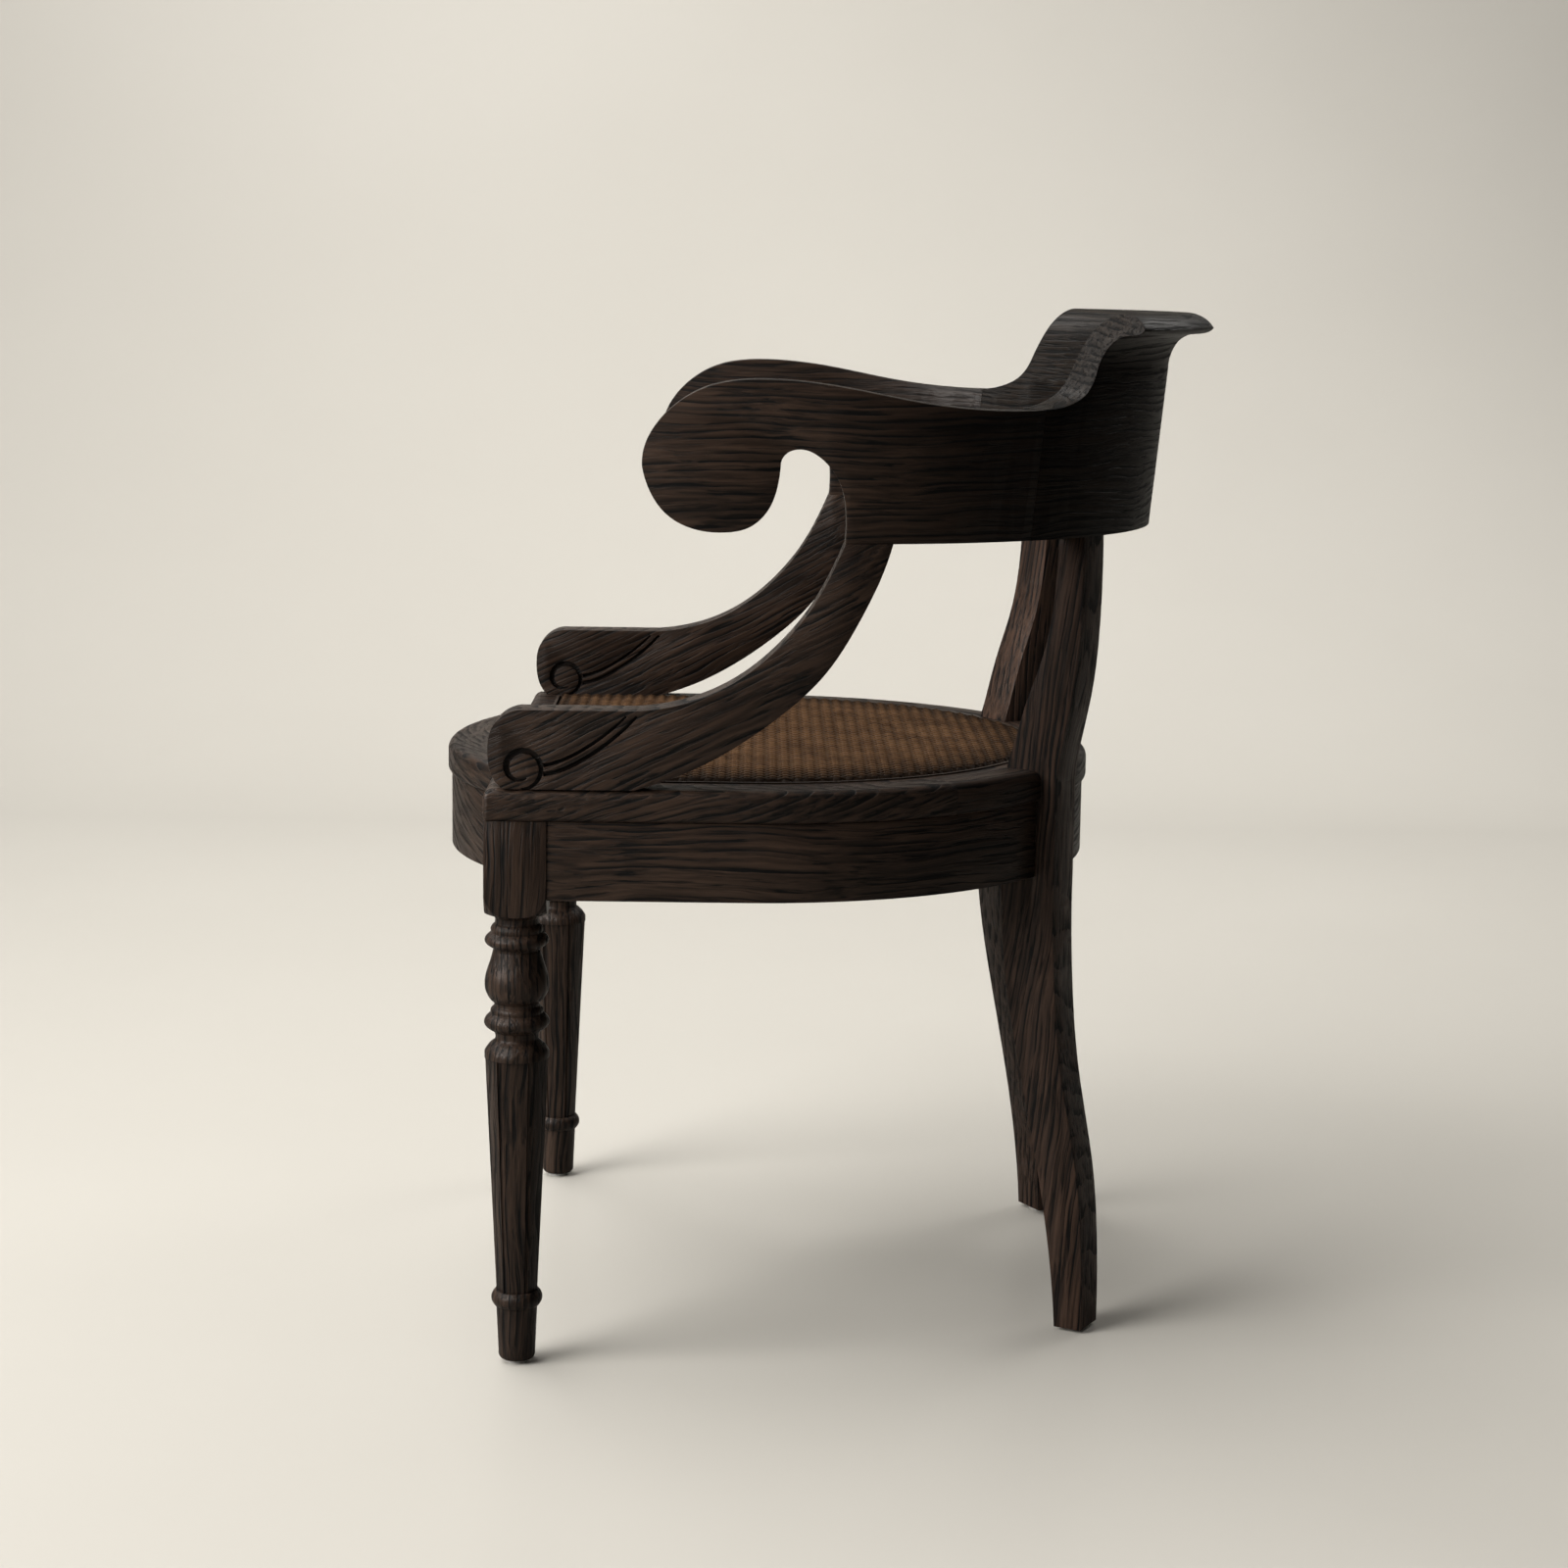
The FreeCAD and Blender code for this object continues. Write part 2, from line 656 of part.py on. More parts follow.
def corner_block_front():
    plan = [(APRON_IN, LEG_BACK), (APRON_IN, LEG_BACK + CORNER_L), (LEG_INNER - CORNER_L, APRON_FRONT_IN),
            (LEG_INNER, APRON_FRONT_IN), (LEG_INNER, LEG_BACK)]
    return wedge(plan, APRON_Z + CORNER_RISE, RIM_Z).cut(screw_holes(BLOCK_SCREWS + RIM_SCREWS))


def corner_block_rear():
    room = Part.makeCylinder(APRON_IN - GAP, RIM_Z, Vector(0, SEAT_Y, 0))
    block = rear_box(REAR_FRONT - REAR_CORNER_D, REAR_FRONT, -REAR_CORNER_OUT, REAR_T + REAR_CORNER_IN,
                     APRON_Z + CORNER_RISE, RIM_Z).common(room)
    return block.cut(screw_holes(BLOCK_SCREWS + RIM_SCREWS))


# Arm supports

def channel(points, width, depth, x):
    """A shallow channel along a curve on the side face at x. Each point carries its own share of the width."""
    upper = []
    lower = []
    for k, (y, z, share) in enumerate(points):
        before = points[max(k - 1, 0)]
        after = points[min(k + 1, len(points) - 1)]
        along = Vector(after[0] - before[0], after[1] - before[1], 0).normalize()
        half = width * share / 2
        upper.append((y - along.y * half, z + along.x * half))
        lower.append((y + along.y * half, z - along.x * half))
    return face(closed([upper, lower[::-1]]), side_view(x)).extrude(Vector(depth, 0, 0))


def horse_band(outer, inner, front_y, z0):
    """One side and half the back of the horseshoe in plan, up to the arm joint."""
    turn = radians(ARM_JOINT)
    middle = turn / 2

    def at(radius, angle):
        return Vector(radius * cos(angle), HORSE_Y + radius * sin(angle), z0)
    return Part.Face(Part.Wire([
        Part.makeLine(Vector(inner, front_y, z0), Vector(outer, front_y, z0)),
        Part.makeLine(Vector(outer, front_y, z0), at(outer, 0)),
        arc(at(outer, 0), at(outer, middle), at(outer, turn)),
        Part.makeLine(at(outer, turn), at(inner, turn)),
        arc(at(inner, turn), at(inner, middle), at(inner, 0)),
        Part.makeLine(at(inner, 0), Vector(inner, front_y, z0)),
    ]))


def arm_tenon(grow):
    x = HORSE_R - WALL_T / 2
    y = POST_FRONT + POST_W / 2
    half = ARM_TENON_W / 2
    return box(x - ARM_TENON_T / 2 - grow, x + ARM_TENON_T / 2 + grow, y - half - grow, y + half + grow,
               ARM_Z - OVERCUT, ARM_Z + ARM_TENON_L + grow)


def eye_place(angle, radius):
    """A point about the volute's eye, with its angle counted from the sitter's back upwards."""
    return (SUPPORT_FRONT + EYE_BACK + radius * cos(radians(angle)),
            RIM_TOP + EYE_RISE + radius * sin(radians(angle)))


# The volute's channel winds in from below: its angle, and its radius and width as shares of the eye's height
SPIRAL = [(-96, 0.99, 0.13), (-60, 0.93, 0.19), (-20, 0.87, 0.22), (20, 0.86, 0.25), (60, 0.87, 0.28),
          (100, 0.87, 0.31), (140, 0.85, 0.32), (175, 0.81, 0.30), (205, 0.74, 0.26), (235, 0.65, 0.19),
          (265, 0.56, 0.12), (290, 0.50, 0.05)]


def support_carving(x, inward):
    """The volute's spiral and the two channels that sweep up from it, on one side face."""
    depth = CARVE_D * inward
    spiral = [eye_place(angle, share * EYE_RISE) + (width * EYE_RISE,) for angle, share, width in SPIRAL]
    end = (SUPPORT_FRONT + SCROLL_L, RIM_TOP + SCROLL_H - CHANNEL_INSET)
    before_end = (end[0] - 2 * CHANNEL_INSET, end[1])
    upper = between(eye_place(10, EYE_RISE), before_end, [(0.27, 0.14), (0.53, 0.38), (0.76, 0.65)])
    lower = between(eye_place(-14, EYE_RISE), end, [(0.24, 0.1), (0.48, 0.31), (0.71, 0.57)])
    widths = (1.0, 1.0, 0.95, 0.85, 0.6)
    runs = [[point + (width,) for point, width in zip(run, widths)] for run in (upper, lower)]
    return [channel(spiral, 1.0, depth, x), channel(runs[0], UPPER_CHANNEL, depth, x),
            channel(runs[1], LOWER_CHANNEL, depth, x)]


def support_outline():
    """The support from the side, from its foot up the scroll, along the sweep to the post and back down."""
    foot = (SUPPORT_FOOT, RIM_TOP)
    nose = (SUPPORT_FRONT, RIM_TOP + 0.484 * SCROLL_H)
    brow = (SUPPORT_FRONT + SCROLL_ROUND, RIM_TOP + SCROLL_H)
    sweep = (SUPPORT_FRONT + SCROLL_L, RIM_TOP + SCROLL_H)
    scroll = between(foot, nose, [(0.538, 0.214), (0.846, 0.492)]) + between(nose, brow, [(0.119, 0.527),
                                                                                       (0.459, 0.838)])[1:]
    upper = between(sweep, (POST_FRONT, ARM_Z), [(0.166, 0.029), (0.332, 0.091), (0.522, 0.217), (0.709, 0.417),
                                                 (0.849, 0.633), (0.941, 0.837)])
    lower = between((POST_FRONT + POST_W, ARM_Z), (SUPPORT_FOOT_BACK, RIM_TOP),
                    [(0.043, 0.131), (0.116, 0.289), (0.265, 0.531), (0.415, 0.679), (0.643, 0.844),
                     (0.796, 0.926), (0.918, 0.974)])
    return closed([scroll, upper, lower])


def arm_support():
    blank = face(support_outline(), side_view(0)).extrude(Vector(SUPPORT_X, 0, 0))
    band = horse_band(SUPPORT_X, SUPPORT_X - SUPPORT_T, EAR_Y, RIM_TOP).extrude(Vector(0, 0, ARM_RISE))
    body = blank.common(band).fuse(arm_tenon(0)).removeSplitter()
    carving = support_carving(SUPPORT_X, -1) + support_carving(SUPPORT_X - SUPPORT_T, 1)
    return body.cut(carving + support_pins(GAP))


# Arms and crest rail

def arm_outline():
    """The arm from the side: over the scroll to the joint, back along the underside and round the scroll."""
    nose = (HORSE_Y - ARM_REACH, ARM_Z + 0.57 * ARM_H)
    crown = (HORSE_Y - CROWN_REACH, ARM_END_TOP + ARM_CROWN)
    joint = HORSE_Y + HORSE_R * sin(radians(ARM_JOINT)) + WALL_T / 4
    throat = (POST_FRONT - THROAT_W, ARM_Z + 0.607 * ARM_H)
    scroll_low = (HORSE_Y - SCROLL_LOW_REACH, ARM_Z + SCROLL_CLEAR)
    top = (between(nose, crown, [(0.026, 0.258), (0.182, 0.6), (0.492, 0.899)])
           + between(crown, (joint, ARM_END_TOP), [(0.264, 0.234), (0.549, 0.73), (0.834, 1.004)])[1:])
    end = [(joint + 2 * WALL_T, ARM_END_TOP), (joint + 2 * WALL_T, ARM_Z)]
    hook = between((POST_FRONT, ARM_Z), throat, [(-0.01, 0.311), (0.103, 0.758), (0.361, 1.036), (0.661, 1.16),
                                                 (0.884, 1.127)])
    scroll = (between(throat, scroll_low, [(0.047, 0.318), (0.229, 0.693), (0.535, 0.919)])
              + between(scroll_low, nose, [(0.396, 0.061), (0.695, 0.265), (0.891, 0.587)])[1:])
    return closed([top, end, hook, scroll])


def arm():
    height = CREST_Z - ARM_Z
    band = horse_band(HORSE_R, HORSE_R - WALL_T, EAR_Y, ARM_Z).extrude(Vector(0, RAKE * height, height))
    body = face(arm_outline(), side_view(0)).extrude(Vector(HORSE_R + WALL_T, 0, 0)).common(band)
    return body.cut([arm_tenon(GAP)] + arm_pins(GAP))


def arm_pins(grow):
    pins = []
    for z in (ARM_Z + 0.26 * ARM_H, ARM_Z + 0.72 * ARM_H):
        out = rear_direction(ARM_JOINT) * (HORSE_R - WALL_T / 2)
        middle = Vector(0, HORSE_Y + RAKE * (z - ARM_Z), z) + out
        pins.append(pin(DOWEL_R + grow, ARM_DOWEL_L + 2 * grow, middle, rear_direction(ARM_JOINT + 90)))
    return [copy for one in pins for copy in both_sides(one)]


def crest_end_cut():
    """The ogee that steps the crest down to the arm, cut square through the wall."""
    out = rear_direction(OGEE_TURN)
    along = rear_direction(OGEE_TURN + 90)

    def place(s, z):
        return Vector(0, HORSE_Y, z) + out * (HORSE_R / 2) + along * s
    high = CREST_Z + 2 * OVERCUT
    ogee = between((-OGEE_BEFORE, ARM_END_TOP), (OGEE_AFTER, high),
                   [(0.221, 0.003), (0.407, 0.016), (0.57, 0.061), (0.721, 0.147), (0.817, 0.293),
                    (0.856, 0.44), (0.898, 0.587), (0.949, 0.76)])
    waste = closed([ogee, [(OGEE_AFTER, high), (-OGEE_BEFORE, high)]])
    return face(waste, place).extrude(out * HORSE_R)


def crest_profile():
    """Section of the crest: an upright wall that curls outwards into a lip, with a cove beneath it."""
    inner = HORSE_R - WALL_T
    cove = (inner, ARM_END_TOP + COVE_RISE)
    crown = (HORSE_R + LIP_CROWN, CREST_Z)
    edge = (HORSE_R + LIP_OUT, CREST_Z - LIP_DROP)
    neck = (HORSE_R, CREST_Z - LIP_NECK)
    roll = (between(cove, crown, [(0.081, 0.212), (0.167, 0.485), (0.319, 0.773), (0.643, 0.953)])
            + between(crown, edge, [(0.595, 0.333)])[1:])
    under = between(edge, neck, [(0.136, 0.1), (0.424, 0.129), (0.788, 0.282), (0.964, 0.588)])
    return closed([[(inner, ARM_Z), cove], roll, under, [neck, (HORSE_R, ARM_Z)]])


def crest_rail():
    profile = face(crest_profile(), section)
    profile.rotate(Vector(0, 0, 0), Vector(0, 0, 1), ARM_JOINT)
    rail = profile.revolve(Vector(0, 0, 0), Vector(0, 0, 1), 180 - 2 * ARM_JOINT)
    rail.translate(Vector(0, HORSE_Y, 0))
    rail = rail.cut(both_sides(crest_end_cut()))
    lean = FreeCAD.Matrix()
    lean.A23 = RAKE
    lean.A24 = -RAKE * ARM_Z
    rail = rail.transformGeometry(lean)
    return rail.cut(both_sides(crest_tenon(GAP)) + arm_pins(GAP))


def foot_glides():
    rear = rear_place(REAR_FOOT / 2, 0, REAR_T_FOOT / 2)
    discs = [Part.makeCylinder(GLIDE_R, GLIDE_H, middle) for middle in (Vector(LEG_X, LEG_Y, 0), rear)]
    return Part.makeCompound([copy for one in discs for copy in both_sides(one)])


save_pair("front_leg", front_leg())
save_pair("rear_leg", rear_leg())
apron_front, apron_left, apron_rear = aprons()
save("apron_front", apron_front)
save_pair("apron", apron_left)
save("apron_rear", apron_rear)
rim_front, rim_left, rim_rear = rims()
save("seat_rim_front", rim_front)
save_pair("seat_rim", rim_left)
save("seat_rim_rear", rim_rear)
save("cane_panel", cane())
save("cane_spline", reed())
save_pair("corner_block_front", corner_block_front())
save_pair("corner_block_rear", corner_block_rear())
save_pair("arm_support", arm_support())
save_pair("arm", arm())
save("crest_rail", crest_rail())
save("rim_dowels", Part.makeCompound(rim_pins(0)))
save("support_dowels", Part.makeCompound(support_pins(0)))
save("arm_joint_dowels", Part.makeCompound(arm_pins(0)))
save("corner_block_screws", screws(BLOCK_SCREWS))
save("rim_screws", screws(RIM_SCREWS))
save("foot_glides", foot_glides())
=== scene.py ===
# %% [markdown]
# # An ebonised armchair with a horseshoe back and a caned seat
# The chair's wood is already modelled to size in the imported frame: every leg, rail, rim and arm is there as a
# closed solid. This lesson dresses it. It loads the frame, sets up the camera and a plain studio, gives each wooden
# piece softened edges and an open-grained black finish that runs the way its plank was sawn, and weaves the seat.
# All lengths are in metres. X runs across the chair, Y from its front to its back, and Z up.

# %% Load the frame
from math import cos, pi, radians, sqrt

import bpy
from mathutils import Matrix, Vector


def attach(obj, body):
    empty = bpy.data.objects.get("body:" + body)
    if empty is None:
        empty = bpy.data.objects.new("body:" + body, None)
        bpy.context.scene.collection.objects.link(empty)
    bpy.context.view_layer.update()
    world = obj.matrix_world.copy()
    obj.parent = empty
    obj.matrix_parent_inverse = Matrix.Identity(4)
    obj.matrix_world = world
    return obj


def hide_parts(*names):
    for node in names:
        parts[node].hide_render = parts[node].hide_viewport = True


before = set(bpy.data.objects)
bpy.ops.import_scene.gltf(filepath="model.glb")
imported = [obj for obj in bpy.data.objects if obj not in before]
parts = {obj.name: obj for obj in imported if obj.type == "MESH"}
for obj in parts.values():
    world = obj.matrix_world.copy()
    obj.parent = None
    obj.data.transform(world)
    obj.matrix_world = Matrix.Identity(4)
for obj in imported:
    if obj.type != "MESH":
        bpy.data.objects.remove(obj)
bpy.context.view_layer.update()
print("pieces in the frame:", len(parts))

# %% [markdown]
# ## The camera
# The picture is taken from the side, a little above the arms. The lens is long, so the near and the far side of the
# chair differ little in size. The camera is tilted down, turned slightly to the right, and rolled by under a degree.
# A camera object looks along its own -Z, so the three small turns are applied to one that first looks along -X.

# %% Camera
VIEW_FROM = Vector((2.644, -0.0604, 0.852))
TILT_DOWN = radians(9.24)
TURN_RIGHT = radians(0.60)
ROLL = radians(0.80)
LENS = 72.16

bpy.ops.object.camera_add(location=VIEW_FROM)
camera = bpy.context.object
camera.data.lens = LENS
aim = (Matrix.Rotation(radians(90) - TURN_RIGHT, 3, "Z")
       @ Matrix.Rotation(radians(90) - TILT_DOWN, 3, "X")
       @ Matrix.Rotation(ROLL, 3, "Z"))
camera.rotation_euler = aim.to_euler()
bpy.context.scene.camera = camera
print("the camera stands", round(VIEW_FROM.x, 2), "m to the side with a lens of", LENS, "mm")

# %% [markdown]
# ## Small helpers for modelling
# Operators act on whatever is selected, so each step starts by clearing the selection. `start_edit` and `end_edit`
# wrap the work on one mesh, and `select_where` picks its faces, edges or points by a test, because a script can't
# click. `apply_place` puts an object's place into its mesh: patterns are laid on in the object's own coordinates,
# so an object that stays at the origin keeps them in step with the rest of the chair.

# %% Modelling helpers
def only(piece):
    """Make one object the selected and active one."""
    bpy.ops.object.select_all(action="DESELECT")
    piece.select_set(True)
    bpy.context.view_layer.objects.active = piece


def start_edit(piece, mode="FACE"):
    """Open one mesh for editing, with faces, edges or points to pick."""
    only(piece)
    bpy.ops.object.mode_set(mode="EDIT")
    bpy.ops.mesh.select_mode(type=mode)


def end_edit():
    """Close the mesh that is being edited."""
    bpy.ops.object.mode_set(mode="OBJECT")


def select_where(piece, kind, test):
    """Select the faces, edges or points of a mesh in edit mode that pass a test."""
    bpy.ops.mesh.select_all(action="DESELECT")
    bpy.ops.object.mode_set(mode="OBJECT")
    for item in getattr(piece.data, kind):
        item.select = test(item)
    bpy.ops.object.mode_set(mode="EDIT")


def apply_place(piece):
    """Move an object's place into its mesh, so that the object itself sits at the origin."""
    only(piece)
    bpy.ops.object.transform_apply(location=True, rotation=True, scale=True)


print("modelling helpers are ready")

# %% [markdown]
# ## Sums on sockets
# A grain pattern is mostly arithmetic, and wiring Math nodes by hand hides it. `Wire` stands for one output socket.
# Adding, multiplying or dividing wires adds the Math nodes behind the scenes, so a pattern reads like a sum. The
# reflected methods make `1 - wire` work as well as `wire - 1`.

# %% Wires
class Wire:
    """One output socket of a material, for use in sums."""

    def __init__(self, finish, socket):
        self.finish = finish
        self.socket = socket

    def math(self, operation, *others):
        """A Math node with this wire as its first value."""
        values = dict(enumerate((self,) + others))
        return self.finish.node("ShaderNodeMath", {"operation": operation}, values)

    def __add__(self, other):
        return self.math("ADD", other)

    def __sub__(self, other):
        return self.math("SUBTRACT", other)

    def __mul__(self, other):
        return self.math("MULTIPLY", other)

    def __truediv__(self, other):
        return self.math("DIVIDE", other)

    def __rsub__(self, other):
        return (self * -1.0) + other

    def __rtruediv__(self, other):
        return self.math("POWER", -1.0) * other

    __radd__ = __add__
    __rmul__ = __mul__

    def clipped(self):
        """The value held between 0 and 1."""
        return self.math("MINIMUM", 1.0).math("MAXIMUM", 0.0)

    def step(self, low, high):
        """0 below low, 1 above high and a smooth rise between."""
        inputs = {"Value": self, "From Min": low, "From Max": high}
        return self.finish.node("ShaderNodeMapRange", {"interpolation_type": "SMOOTHSTEP"}, inputs)


print("wires can be added, subtracted, multiplied and divided")

# %% [markdown]
# ## Materials that are wired by hand
# `Finish` is one material. Its `node` method adds any kind of node, sets it up and connects it, and the other methods
# name the few kinds that the chair's finishes need: a place on the piece, its three coordinates, noise, a mix of two
# colours, a bump and the shader that ends it all.

# %% Finishes
class Finish:
    """A material that is wired by hand."""

    def __init__(self, name):
        self.material = bpy.data.materials.new(name)
        self.material.use_nodes = True
        self.tree = self.material.node_tree
        self.tree.nodes.clear()

    def node(self, kind, settings=None, inputs=None, output=0):
        """Add a node, set it up, connect it, and return one of its outputs."""
        made = self.tree.nodes.new(kind)
        for name, value in (settings or {}).items():
            setattr(made, name, value)
        for name, value in (inputs or {}).items():
            if isinstance(value, Wire):
                self.tree.links.new(value.socket, made.inputs[name])
            else:
                made.inputs[name].default_value = value
        return Wire(self, made.outputs[output])

    def place(self):
        """The place on the piece, in the chair's own coordinates."""
        return self.node("ShaderNodeTexCoord", output="Object")

    def axes(self, where):
        """The three coordinates of a place."""
        return [self.node("ShaderNodeSeparateXYZ", None, {0: where}, axis) for axis in range(3)]

    def vector(self, operation, first, second, output=0):
        return self.node("ShaderNodeVectorMath", {"operation": operation}, {0: first, 1: second}, output)

    def noise(self, where, stretch, detail=2.0, output=0):
        """Cloudy noise whose clouds are 1 / stretch metres long on each axis."""
        scaled = self.vector("MULTIPLY", where, stretch)
        return self.node("ShaderNodeTexNoise", None, {"Vector": scaled, "Scale": 1.0, "Detail": detail}, output)

    def blend(self, amount, first, second):
        """Mix two colours."""
        return self.node("ShaderNodeMix", {"data_type": "RGBA"}, {0: amount, 6: first, 7: second}, 2)

    def bump(self, height, depth, strength=1.0):
        return self.node("ShaderNodeBump", None, {"Height": height, "Distance": depth, "Strength": strength})

    def surface(self, inputs):
        """The shader that ends every finish."""
        shader = self.node("ShaderNodeBsdfPrincipled", None, inputs)
        end = self.tree.nodes.new("ShaderNodeOutputMaterial")
        self.tree.links.new(shader.socket, end.inputs["Surface"])
        return self.material


print("finishes are ready")

# %% [markdown]
# ## The studio sweep
# The chair stands on a pale sheet that rises behind it in one curve, so that no horizon shows. The sheet starts as a
# plane: its far edge is pulled in, a wall is extruded up from it, and the crease between them is rounded by a bevel.
# A bevel is used because it keeps floor and wall flat and puts all the bend in between.

# %% Floor and backdrop
FLOOR_SIDE = 12.0
WALL_X = -4.6
WALL_Z = 5.0
SWEEP = 2.4
SWEEP_STEPS = 40
NEAR = 0.01

bpy.ops.mesh.primitive_plane_add(size=FLOOR_SIDE, location=(0, 0, 0))
studio = bpy.context.object
studio.name = "studio_sweep"
start_edit(studio, "VERT")
select_where(studio, "vertices", lambda v: v.co.x < 0)
bpy.ops.transform.translate(value=(WALL_X + FLOOR_SIDE / 2, 0, 0))
bpy.ops.mesh.select_mode(type="EDGE")
select_where(studio, "edges", lambda e: all(studio.data.vertices[i].co.x < 0 for i in e.vertices))
bpy.ops.mesh.extrude_region_move(TRANSFORM_OT_translate={"value": (0, 0, WALL_Z)})
select_where(studio, "edges", lambda e: all(studio.data.vertices[i].co.x < WALL_X + NEAR
                                            and studio.data.vertices[i].co.z < NEAR for i in e.vertices))
bpy.ops.mesh.bevel(offset=SWEEP, offset_type="OFFSET", segments=SWEEP_STEPS, affect="EDGES")
end_edit()
for polygon in studio.data.polygons:
    polygon.use_smooth = True
print("the sweep has", len(studio.data.polygons), "faces")

# %% [markdown]
# ## Pale paper
# The backdrop's tone runs from a warm grey on the left to a lighter one on the right, which evens out the light that
# falls off to that side. Two things about it depend on the kind of ray. Light that the paper throws back on the chair
# is kept low, as black flags do in a studio, because black wax would show it as haze. And far from the lamps, where
# only the other views look, the paper shows the camera the plain colour of the room.

# %% The paper of the sweep
BACKGROUND = (0.62, 0.59, 0.53, 1)
PAPER_LEFT = (0.650, 0.626, 0.573, 1)
PAPER_RIGHT = (0.845, 0.815, 0.748, 1)
PAPER_CLOUD = (0.5, 0.47, 0.42, 1)
PAPER_FLAGGED = (0.30, 0.29, 0.265, 1)
BLACK = (0, 0, 0, 1)


def studio_paper():
    """Pale paper for the floor and the backdrop."""
    paper = Finish("studio_paper")
    where = paper.place()
    x, y, _ = paper.axes(where)
    cloud = paper.noise(where, (1.5, 1.5, 1.5), 4.0).step(0.3, 0.7)
    shown = paper.blend(y.step(-1.6, 1.4), PAPER_LEFT, PAPER_RIGHT)
    shown = paper.blend(cloud * 0.06, shown, PAPER_CLOUD)
    away = x.step(0.9, 2.4).math("MAXIMUM", y.math("ABSOLUTE").step(2.2, 3.6))
    seen = paper.node("ShaderNodeLightPath", output="Is Camera Ray")
    colour = paper.blend(seen, PAPER_FLAGGED, paper.blend(away, shown, BLACK))
    glow = paper.blend(seen * away, BLACK, BACKGROUND)
    return paper.surface({"Base Color": colour, "Roughness": 0.27, "Specular IOR Level": 0.13,
                          "Emission Color": glow, "Emission Strength": 1.0})


studio.data.materials.append(studio_paper())
print("the sweep is finished in", studio.active_material.name)

# %% [markdown]
# ## Soft light
# One large soft lamp stands in front of the chair, to the left of the picture, and models its forms. A wider one hangs
# above and opens the shadow under the seat. A small one behind, to the right, draws a thin edge down the back, and
# the last one lights the backdrop alone. Black wax shows lamps mostly as reflections, so their size matters more than
# their strength.

# %% Lamps
LAMP_COLOUR = (1.0, 0.980, 0.950)

# Each lamp: where it hangs, what it points at, how wide it is and how many watts it has
LAMPS = {
    "key_lamp": ((1.45, -2.5, 1.75), (0, -0.15, 0.45), 2.3, 96),
    "top_lamp": ((-0.4, -1.5, 3.0), (-0.2, 0.2, 0.0), 3.4, 80),
    "rear_lamp": ((-1.9, 2.0, 2.6), (-0.5, 0.9, 0.0), 1.8, 19),
    "wall_lamp": ((-2.2, -1.2, 3.2), (-4.4, 0.1, 0.9), 2.4, 66),
}

for name, (place, target, size, watts) in LAMPS.items():
    bpy.ops.object.light_add(type="AREA", location=place)
    light = bpy.context.object
    light.name = name
    light.data.shape = "DISK"
    light.data.size = size
    light.data.energy = watts
    light.data.color = LAMP_COLOUR
    light.rotation_euler = (Vector(target) - Vector(place)).to_track_quat("-Z", "Y").to_euler()
    print(name, watts, "W")

# %% [markdown]
# ## The room
# Round the studio lies a dim, even room that keeps the shadows from going quite black. The camera sees a paler one,
# so that the views from the other sides end in a pale background too.

# %% The room around the studio
ROOM_COLOUR = (0.80, 0.78, 0.75, 1)
ROOM_STRENGTH = 0.05

world = bpy.data.worlds.new("room")
bpy.context.scene.world = world
world.use_nodes = True
room = world.node_tree
room.nodes.clear()
dim = room.nodes.new("ShaderNodeBackground")
dim.inputs["Color"].default_value = ROOM_COLOUR
dim.inputs["Strength"].default_value = ROOM_STRENGTH
pale = room.nodes.new("ShaderNodeBackground")
pale.inputs["Color"].default_value = BACKGROUND
ray = room.nodes.new("ShaderNodeLightPath")
choice = room.nodes.new("ShaderNodeMixShader")
room_out = room.nodes.new("ShaderNodeOutputWorld")
room.links.new(ray.outputs["Is Camera Ray"], choice.inputs[0])
room.links.new(dim.outputs[0], choice.inputs[1])
room.links.new(pale.outputs[0], choice.inputs[2])
room.links.new(choice.outputs[0], room_out.inputs["Surface"])
bpy.context.scene.view_settings.view_transform = "Standard"
print("the room is lit at", ROOM_STRENGTH)

# %% [markdown]
# ## Following the bend of the wood
# The horseshoe, the rim and the aprons are bent, and on such a piece the grain follows the bend. Where a piece is
# bent, the grain is therefore worked out in unrolled coordinates: the way along the bend, the way out from its
# middle, and the height. In front of the bend's middle the piece runs straight on, and so do the coordinates.

# %% Unrolled coordinates
def round_the_bend(wood, centre_y, radius):
    """The way along a bend, the way out from its middle, and the height.

    The bend turns round a point of the chair's middle line, behind it or, for a negative radius, in front of it.
    """
    x, y, z = wood.axes(wood.place())
    back = (y - centre_y) * (1.0 if radius > 0 else -1.0)
    behind = back.math("MAXIMUM", 0.0)
    angle = behind.math("ARCTAN2", x)
    out = (x * x + behind * behind).math("SQRT")
    along = angle * abs(radius) + back.math("MINIMUM", 0.0) * x.math("SIGN")
    return wood.node("ShaderNodeCombineXYZ", None, {0: along, 1: out, 2: z})


print("bent wood can be unrolled")

# %% [markdown]
# ## Growth rings
# A plank's growth rings are cylinders round the heart of the tree, so the pattern is the distance from a heart line,
# cut into rings. The wood is turned so that its fibres run along X. Two noises then push it aside, across the fibres
# only: a slow one for the sway of the trunk, and a quick one for the ripple of each ring. The finish is solid. It runs
# through the piece, so a carved or sawn surface shows the loops that a real cut would show.

# %% The way of the grain
RING = 0.0056
SWAY = 0.026
RIPPLE = 0.0036
MIDDLE = (0.5, 0.5, 0.5)


def pushed(wood, grain, stretch, reach):
    """A noise that moves the grain aside, across the fibres, by up to half its reach."""
    cloud = wood.noise(grain, stretch, 2.0, "Color")
    return wood.vector("MULTIPLY", wood.vector("SUBTRACT", cloud, MIDDLE), (0.0, reach, reach))


